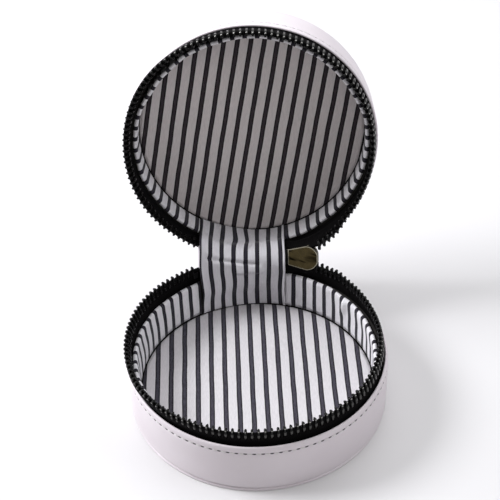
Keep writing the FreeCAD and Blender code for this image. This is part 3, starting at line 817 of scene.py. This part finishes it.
def hinge_lining():
    """Ticking strip inside the hinge: slack over the fold, hemmed at both edges, creased as in the photo."""
    strip_foot = -23.6
    strip_head = 19.2
    flat_round = 45.6
    cloth_thick = 0.55
    psi = np.linspace(STRIP_FROM, STRIP_TO + 0.5, 61)[:, None]
    across = np.radians(psi - psi[0]) * flat_round
    wide = across[-1, 0]
    run = np.linspace(strip_foot, strip_head, 111)[None, :] + 0 * across
    fold = strip_fold(run)
    fine = mound(run, 8.5) * waves(41, 7, (run, 0.55, 1.3), (across, 0.05, 0.22))
    broad = waves(42, 5, (run, 0.12, 0.35), (across, 0.08, 0.2))
    hem = mound(wide - across, 1.1) + 0.6 * mound(across, 0.9)
    slack = mound(run + 11.0, 5.0) * (0.45 + 0.55 * np.sin(math.pi * across / wide))
    above = run + 5.0
    ridge = mound(above, np.where(above > 0, 2.2, 0.9)) * ease((psi + 12) / 4) * ease((7 - psi) / 5)
    press_line = -0.6 - (psi + 26) * 0.077
    pressed = mound(run - press_line, 0.42) * ease((psi + 28) / 4) * ease((4 - psi) / 6)
    slant = (run - 4.2) * 0.5 - (psi + 2.2) * 0.8
    nick = mound(slant, 0.5) * mound(run - 4.6, 2.2) * mound(psi + 2.2, 2.5)
    proud = 0.30 * fine + 0.36 * broad + 0.42 * hem + 2.3 * slack + 1.3 * ridge
    sunken = 1.2 * pressed + 1.3 * nick
    radius = STRIP_R - proud + sunken
    points = place(psi, radius, run, fold)
    back = place(psi, radius + cloth_thick, run, fold)
    points = np.concatenate([points, back[:, ::-1]], 1)
    sway = 0.08 * waves(43, 4, (run, 0.12, 0.3), (across, 0.02, 0.05))
    gathered = mound(psi - STRIP_MIDDLE, 6) * mound(run - 9, 6)
    lanes = across / STRIP_STRIPE + sway - 0.21 * gathered + STRIP_SHIFT
    length = np.concatenate([run, run[:, ::-1], run[:, :1]], 1)
    lanes = np.concatenate([lanes, lanes[:, ::-1], lanes[:, :1]], 1)
    cloth = skin("hinge_ticking", points, np.stack([lanes, length], -1), hinge_ticking_painted_shade,
                 across=True, caps=True)
    strip_blend(cloth, STRIP_R)
    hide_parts("hinge_lining")


def hinge_leather():
    """Leather strip over the back of the hinge, lapped on both bands and creased at the fold."""
    lap = 11.4
    inset = 1.6
    leather_thick = 0.8
    psi = np.linspace(STRIP_FROM + inset, STRIP_TO - inset, 61)[:, None]
    across = np.radians(psi - psi[0]) * CASE_R
    run = np.linspace(-lap, lap, 81)[None, :] + 0 * across
    fold = strip_fold(run)
    crease = mound(run, 5.5) * waves(51, 6, (run, 0.8, 1.9), (across, 0.02, 0.12))
    edge = np.minimum(across, across[-1, 0] - across)
    skived = 0.25 * (1 - ease(edge / 0.6))
    radius = CASE_R + 0.2 + 0.12 * crease - skived
    outer = place(psi, radius, run, fold)
    inner = place(psi, radius - leather_thick + skived, run, fold)
    points = np.concatenate([outer, inner[:, ::-1]], 1)
    around = np.concatenate([np.broadcast_to(across, run.shape)] * 2 + [across], 1)
    length = np.concatenate([run, run[:, ::-1], run[:, :1]], 1)
    strip = skin("hinge_leather_strip", points, np.stack([around, length], -1), leather_plain,
                 across=True, caps=True)
    strip_blend(strip, 49.6)
    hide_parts("hinge_leather")


def shape_slider(shell):
    """Slims the slider, draws in its outer plate and gives the face of its inner plate a rim of painted
    highlight.
    """
    rim_line = 0.32 * MM
    plate_face = 1.7 * MM
    drawn_from = 1.5 * MM
    drawn_share = 0.3
    narrow_end = 0.84
    wide_end = 0.93
    nose = 6.5
    taper = 8
    seat, above, beyond = (
        Vector(place(np.array(SLIDER_AT), np.array(radius), np.array(height), OPEN * ZIP_SHARE))
        for radius, height in ((CHAIN_R, 0.0), (CHAIN_R, 1.0), (CHAIN_R + 1, 0.0)))
    high = (above - seat).normalized()
    out = (beyond - seat).normalized()
    along = out.cross(high)
    for vert in shell.verts:
        lift, far, run = ((vert.co - seat).dot(axis) for axis in (high, out, along))
        share = min(max((run / MM + nose) / taper, 0), 1)
        slim = narrow_end + (wide_end - narrow_end) * share
        vert.co += high * lift * (slim - 1)
        if far > 0 and run > drawn_from:
            vert.co -= along * (run - drawn_from) * drawn_share
    shell.normal_update()
    near = [f for f in shell.faces if f.normal.dot(out) < -0.9
            and (f.calc_center_median() - seat).dot(out) < -plate_face]
    rim = bmesh.ops.inset_region(shell, faces=near, thickness=rim_line, use_even_offset=True,
                                 use_boundary=True)
    for face in rim["faces"]:
        face.material_index = 1


def softened(node, name, body, material, width, shape=None):
    """A merged copy of a metal solid, with its edges rounded as a casting's are."""
    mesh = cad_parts[node].data.copy()
    mesh.materials.clear()
    shell = bmesh.new()
    shell.from_mesh(mesh)
    bmesh.ops.remove_doubles(shell, verts=shell.verts, dist=2e-6)
    bmesh.ops.dissolve_limit(shell, angle_limit=math.radians(2), verts=shell.verts, edges=shell.edges)
    if shape:
        shape(shell)
    sharp = [e for e in shell.edges if len(e.link_faces) == 2 and e.calc_face_angle(0) > math.radians(35)]
    # Rounded edges take the second finish, a lighter metal that paints their highlight.
    bmesh.ops.bevel(shell, geom=sharp, offset=width * MM, segments=2, profile=0.6, affect="EDGES",
                    clamp_overlap=True, material=1)
    shell.to_mesh(mesh)
    shell.free()
    piece = new_object(name, mesh, material, bronze_edge_highlight)
    mesh.shade_smooth()
    mesh.set_sharp_from_angle(angle=math.radians(28))
    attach(piece, body)
    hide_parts(node)


for leaf in ("base", "lid"):
    outer_band(leaf)
    end_panel(leaf)
    band_stitches(leaf)
    wall_lining(leaf)
    zip_tapes(leaf)
    zip_teeth(leaf)
disc_lining("base", "_floor", ticking_disc, FLOOR_STRIPE, lean=1.34, phase=0.883)
disc_lining("lid", "_ceiling", ceiling_ticking_painted_shade, CEILING_STRIPE, lean=9.95, phase=0.678)
hinge_lining()
hinge_leather()
softened("slider_body", "slider_body_cast", "slider", bronze, 0.28, shape_slider)
softened("slider_bail", "slider_bail_cast", "slider", bronze, 0.15)
softened("slider_pull", "slider_pull_cast", "pull", bronze, 0.15)

FINISHES = {
    "base_bottom_board": board_painted_seam_shade, "lid_top_board": board_painted_seam_shade,
    "base_wall_board": board_painted_seam_shade, "lid_wall_board": board_painted_seam_shade,
    "base_floor_pad": foam_painted_seam_shade, "lid_ceiling_pad": foam_painted_seam_shade,
    "base_top_stop": stop_black, "lid_top_stop": stop_black, "zip_bottom_stop": stop_black,
}
for node, finish in FINISHES.items():
    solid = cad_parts[node]
    solid.data.materials.clear()
    solid.data.materials.append(finish)

# The photo's camera, fitted to its rims and seams: degrees, millimetres, and a 36 mm sensor.
ELEVATION = 40.25
AZIMUTH = 0.57
ROLL = -1.71
TARGET = (-1.46, 0.0, 74.15)
DISTANCE = 515
FOCAL_LENGTH = 101.8
SENSOR = 36


def photo_camera():
    """The camera of the photo, turned about its own line of sight by ROLL."""
    elevation, azimuth, roll = (math.radians(v) for v in (ELEVATION, AZIMUTH, ROLL))
    back = Vector((math.sin(azimuth) * math.cos(elevation), -math.cos(azimuth) * math.cos(elevation),
                   math.sin(elevation)))
    right = (-back).cross(Vector((0, 0, 1))).normalized()
    up = right.cross(-back)
    tilted_right = right * math.cos(roll) + up * math.sin(roll)
    tilted_up = up * math.cos(roll) - right * math.sin(roll)
    lens = bpy.data.cameras.new("photo_camera")
    lens.lens = FOCAL_LENGTH
    lens.sensor_width = SENSOR
    lens.clip_start = 0.01
    camera = bpy.data.objects.new("photo_camera", lens)
    axes = Matrix((tilted_right, tilted_up, back)).transposed().to_4x4()
    camera.matrix_world = Matrix.Translation(Vector(TARGET) * MM + back * (DISTANCE * MM)) @ axes
    bpy.context.scene.collection.objects.link(camera)
    bpy.context.scene.camera = camera


# Lamps: where each stands in metres, its width in metres, its power in watts and its colour.
AIM = (0.0, 0.0, 0.04)
COOL = (0.965, 0.97, 1.0)
WARM = (1.0, 0.945, 0.93)
LAMPS = {
    "key_left": ((-0.84, 0.17, 0.86), 0.5, 11.6, COOL),
    "overhead": ((0.05, 0.55, 0.95), 1.2, 7.0, COOL),
    "front_fill": ((0.0, -0.9, 1.1), 0.6, 1.0, WARM),
    "left_low": ((-1.0, 0.12, 0.30), 0.5, 2.4, COOL),
    "right_fill": ((1.0, -0.25, 0.7), 0.7, 3.3, COOL),
}


def soft_lamp(name, stand, size, power, colour):
    """A round lamp that faces the middle of the case."""
    lamp = bpy.data.lights.new(name, "AREA")
    lamp.color = colour
    lamp.shape = "DISK"
    lamp.size = size
    lamp.energy = power
    holder = bpy.data.objects.new(name, lamp)
    holder.location = stand
    holder.rotation_euler = (Vector(AIM) - Vector(stand)).to_track_quat("-Z", "Y").to_euler()
    bpy.context.scene.collection.objects.link(holder)


def seen_directly(tree):
    """1 for rays of the camera, of mirrors and through glass, 0 for those that gather light."""
    path = add(tree, "ShaderNodeLightPath")
    seen = path.outputs["Is Camera Ray"]
    for ray in ("Is Glossy Ray", "Is Transmission Ray"):
        either = add(tree, "ShaderNodeMath", {0: seen, 1: path.outputs[ray]}, operation="MAXIMUM")
        seen = either.outputs[0]
    return seen


def studio():
    """Pale floor, a white surround and soft lamps, the strongest from the left."""
    scene = bpy.context.scene
    scene.view_settings.view_transform = "Standard"
    world = bpy.data.worlds.new("white_surround")
    scene.world = world
    world.use_nodes = True
    tree = world.node_tree
    tree.nodes.clear()
    glow = add(tree, "ShaderNodeMapRange", {"Value": seen_directly(tree), "To Min": 0.2, "To Max": 1.0})
    surround = add(tree, "ShaderNodeBackground", {"Color": (1, 1, 1, 1), "Strength": glow.outputs[0]})
    add(tree, "ShaderNodeOutputWorld", {"Surface": surround.outputs[0]})

    half = 3.0
    corners = [(-half, -half, 0), (half, -half, 0), (half, half, 0), (-half, half, 0)]
    floor_mesh = bpy.data.meshes.new("pale_floor")
    floor_mesh.from_pydata(corners, [], [(0, 1, 2, 3)])
    table, tree = blank_material("pale_table")
    seen = seen_directly(tree)
    paint = add(tree, "ShaderNodeMix", {"Factor": seen, 6: tint("#C8C6C6"), 7: tint("#E7E6E7")},
                data_type="RGBA")
    matt = add(tree, "ShaderNodeBsdfDiffuse", {"Color": paint.outputs[2]})
    white = add(tree, "ShaderNodeEmission", {"Color": (1, 1, 1, 1), "Strength": 1.0})
    share = add(tree, "ShaderNodeMath", {0: seen, 1: 0.12}, operation="MULTIPLY")
    mixed = add(tree, "ShaderNodeMixShader", {0: share.outputs[0], 1: matt.outputs[0], 2: white.outputs[0]})
    add(tree, "ShaderNodeOutputMaterial", {"Surface": mixed.outputs[0]})
    new_object("pale_floor", floor_mesh, table)

    for name, (stand, size, power, colour) in LAMPS.items():
        soft_lamp(name, stand, size, power, colour)


photo_camera()
studio()
